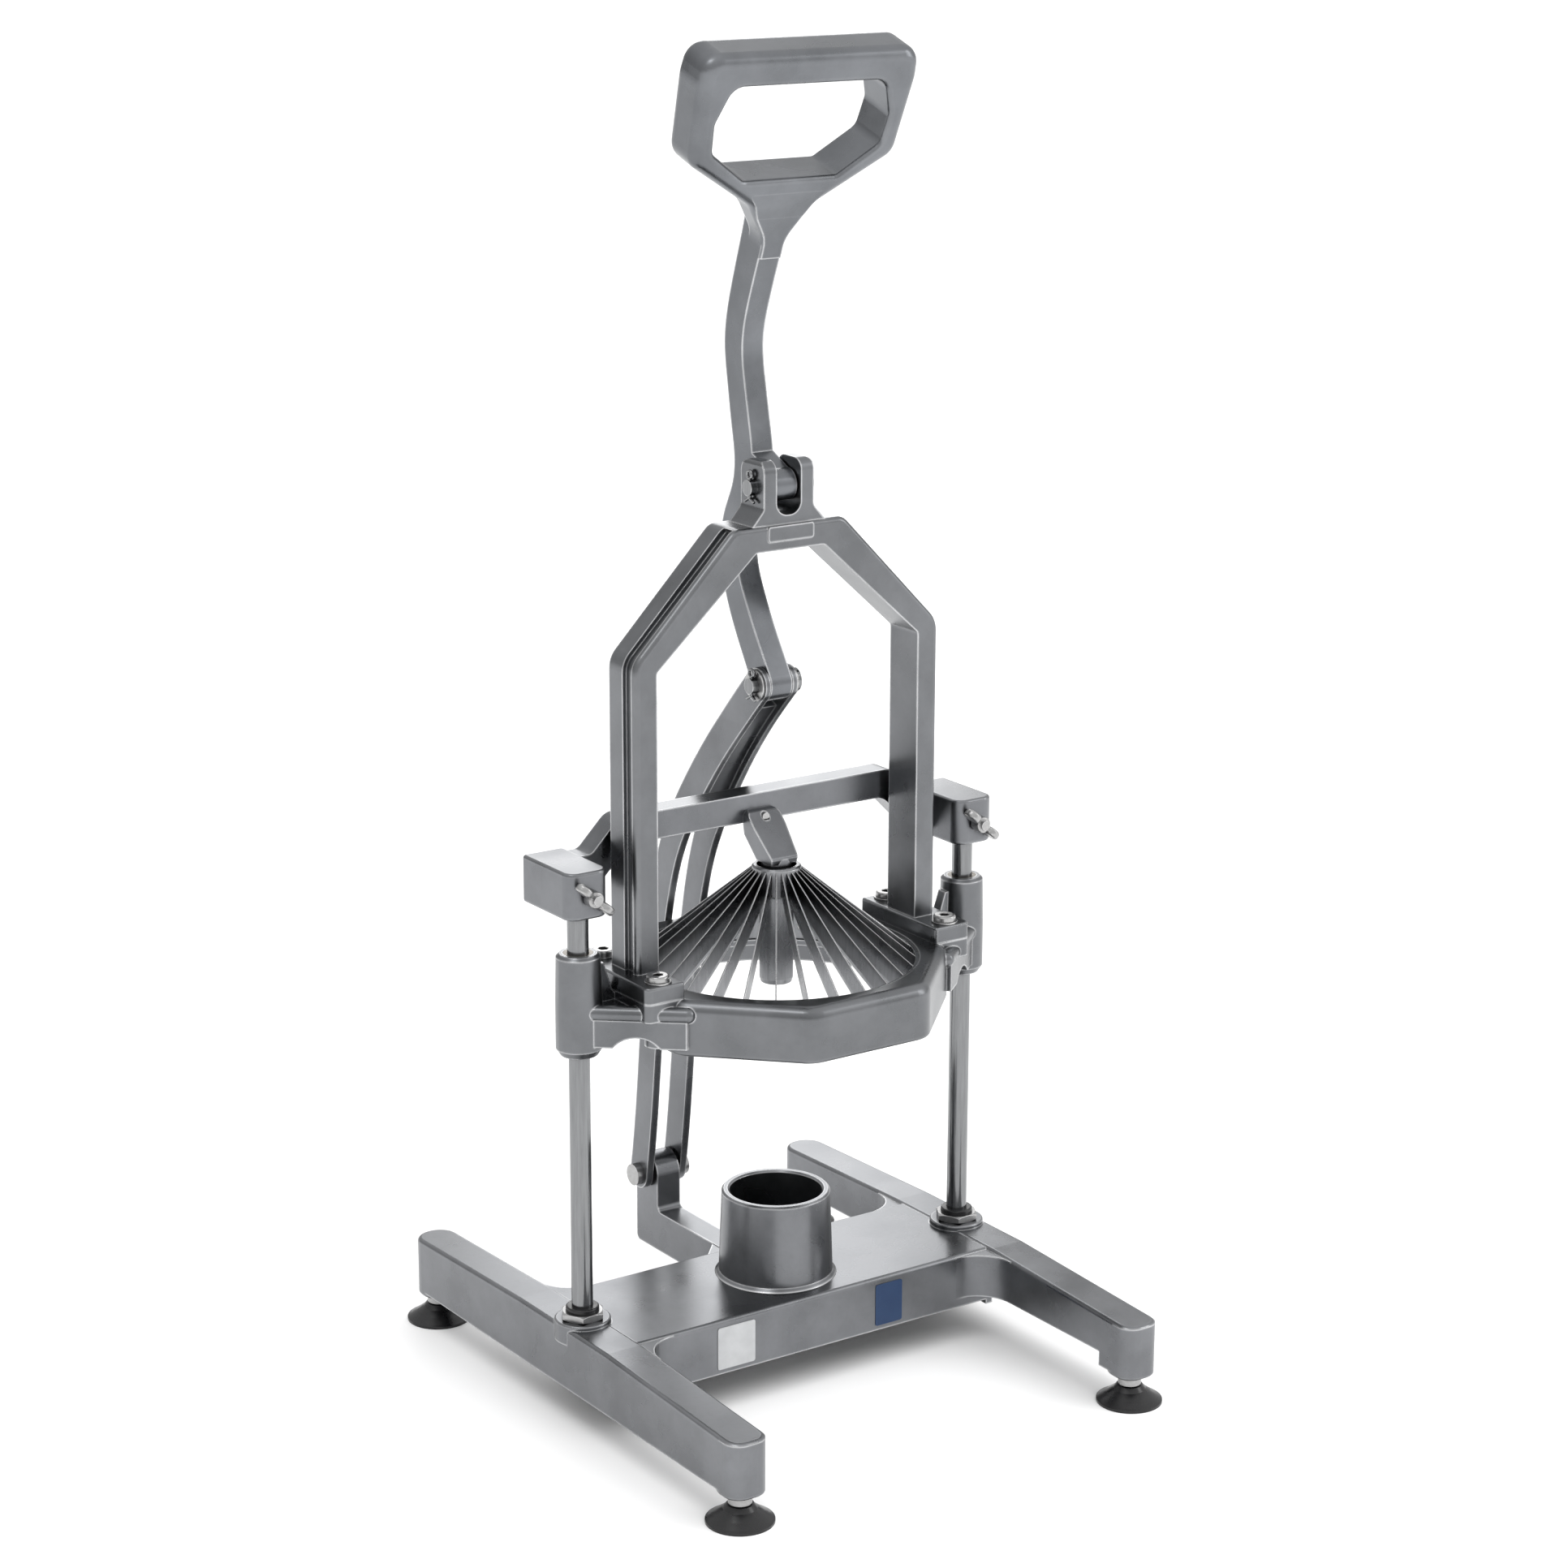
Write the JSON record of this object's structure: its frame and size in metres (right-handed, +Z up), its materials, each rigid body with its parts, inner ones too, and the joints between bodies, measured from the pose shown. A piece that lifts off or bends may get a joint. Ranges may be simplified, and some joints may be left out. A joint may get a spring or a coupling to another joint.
{
  "type": "vegetable dicer",
  "caption": "Hand-lever vegetable cutter of cast aluminium: a lever and link draw a ring of radial blades down guide rods over a holding post.",
  "frame": {"origin": "on the table under the machine, midway between the two guide rods", "axes": "+X along the crossbar to the operator's right, +Y away from the operator towards the tail, +Z up"},
  "size_m": [0.324, 0.3836, 0.8086],
  "materials": {
    "base_aluminium": "tumbled satin casting",
    "yoke_aluminium": "tumbled satin casting",
    "carriage_aluminium": "tumbled satin casting",
    "lever_aluminium": "satin casting polished by hand at the grip",
    "link_aluminium": "tumbled satin casting",
    "polished_steel": "ground and polished",
    "blade_steel": "brushed, bright cutting edges",
    "zinc_hardware": "bright zinc plate",
    "bushing_bronze": "sintered, dull",
    "black_rubber": "smooth, slightly glossy",
    "label_pale": "blank vinyl label",
    "label_blue": "blank vinyl label"
  },
  "bodies": {
    "base": {"base_casting": "base_aluminium", "cup_post": "base_aluminium", "cup_screw": "zinc_hardware", "rod_top_nuts": "zinc_hardware", "rod_end_washers": "zinc_hardware", "rod_end_nuts": "zinc_hardware", "foot_studs": "zinc_hardware", "foot_cup_front_left": "black_rubber", "foot_cup_front_right": "black_rubber", "foot_cup_rear_left": "black_rubber", "foot_cup_rear_right": "black_rubber", "rod_bumper_left": "black_rubber", "rod_bumper_right": "black_rubber", "guide_rod_left": "polished_steel", "guide_rod_right": "polished_steel", "label_wide": "label_pale", "label_narrow": "label_blue", "yoke": "yoke_aluminium", "core_ejector": "yoke_aluminium", "ejector_screw": "zinc_hardware"},
    "carriage": {"carriage_casting": "carriage_aluminium", "upper_bushings": "bushing_bronze", "lower_bushings": "bushing_bronze", "blade_ring": "blade_steel", "blades": "blade_steel", "blade_hub": "blade_steel", "core_tube": "blade_steel", "blade_ring_screws": "zinc_hardware", "arch_frame": "carriage_aluminium", "arch_bolts": "zinc_hardware", "arch_washers": "zinc_hardware", "clevis_pin": "polished_steel", "clevis_cotter": "polished_steel"},
    "lever": {"lever_handle": "lever_aluminium", "lever_hub_bush": "bushing_bronze", "lever_end_bush": "bushing_bronze"},
    "link": {"link_fork": "link_aluminium", "link_pin": "polished_steel", "link_washers": "zinc_hardware", "link_cotter": "polished_steel", "tail_pivot_screws": "zinc_hardware"},
    "wing_left": {"wing_screw_left": "zinc_hardware"},
    "wing_right": {"wing_screw_right": "zinc_hardware"}
  },
  "joints": [
    {"name": "carriage_slide", "type": "slide", "parent": "base", "child": "carriage", "axis": [0, 0, -1], "range_m": [0, 0.158]},
    {"name": "lever_pivot", "type": "hinge", "parent": "carriage", "child": "lever", "pos_m": [0, 0, 0.551], "axis": [1, 0, 0], "range_deg": [0, 117.52]},
    {"name": "link_pivot", "type": "hinge", "parent": "lever", "child": "link", "pos_m": [0, 0.005, 0.431], "axis": [1, 0, 0], "range_deg": [-133.2, 0]},
    {"name": "wing_screw_left_turn", "type": "hinge", "parent": "base", "child": "wing_left", "pos_m": [-0.1397, -0.02, 0.327], "axis": [0, 1, 0], "continuous": true},
    {"name": "wing_screw_right_turn", "type": "hinge", "parent": "base", "child": "wing_right", "pos_m": [0.1397, -0.02, 0.327], "axis": [0, 1, 0], "continuous": true}
  ],
  "couplings": [
    {"joint": "lever_pivot", "follows": "carriage_slide", "rad_per_m": 12.981},
    {"joint": "link_pivot", "follows": "carriage_slide", "rad_per_m": -14.713}
  ]
}
